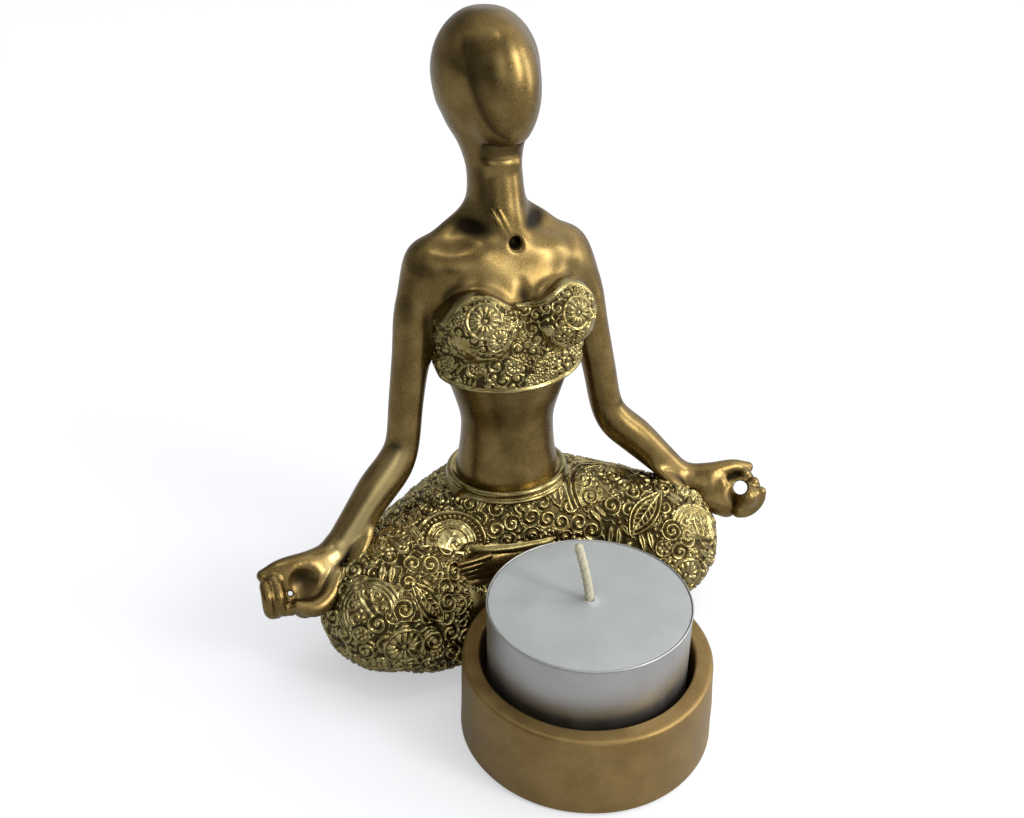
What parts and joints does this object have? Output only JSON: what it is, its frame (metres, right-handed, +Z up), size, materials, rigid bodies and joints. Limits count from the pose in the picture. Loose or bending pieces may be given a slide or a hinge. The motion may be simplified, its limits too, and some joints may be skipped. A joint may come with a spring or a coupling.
{
  "type": "yoga candle holder",
  "caption": "Figure without features seated with crossed legs and hands on its knees, behind a round cup that holds a tall tealight.",
  "frame": {"origin": "centre of the candle cup's foot, on the surface that the object stands on", "axes": "+Z up, -Y the way the figure faces, so the candle cup lies at the origin and the figure behind it at +Y; +X towards the figure's left hand"},
  "size_m": [0.1094, 0.0846, 0.1234],
  "materials": {
    "antique_gold_skin": "satin antique gold paint",
    "embossed_gold": "glossy gold paint with dark recesses",
    "satin_gold_cup": "satin gold paint",
    "aluminium_shell": "bright drawn sheet",
    "white_wax": "translucent wax",
    "tinned_steel": "tinned",
    "cotton_wick": "waxed cotton braid"
  },
  "bodies": {
    "casting": {"figure_body": "antique_gold_skin", "bodice": "embossed_gold", "trousers": "embossed_gold", "left_foot": "antique_gold_skin", "right_foot": "antique_gold_skin", "candle_cup": "satin_gold_cup"},
    "candle_shell": {"tealight_shell": "aluminium_shell"},
    "candle_wax": {"tealight_wax": "white_wax", "wick_sustainer": "tinned_steel", "wick": "cotton_wick"}
  },
  "joints": [
    {"name": "tealight_lift", "type": "slide", "parent": "casting", "child": "candle_shell", "axis": [0, 0, 1], "range_m": [0, 0.03]},
    {"name": "wax_lift", "type": "slide", "parent": "candle_shell", "child": "candle_wax", "axis": [0, 0, 1], "range_m": [0, 0.028]}
  ]
}
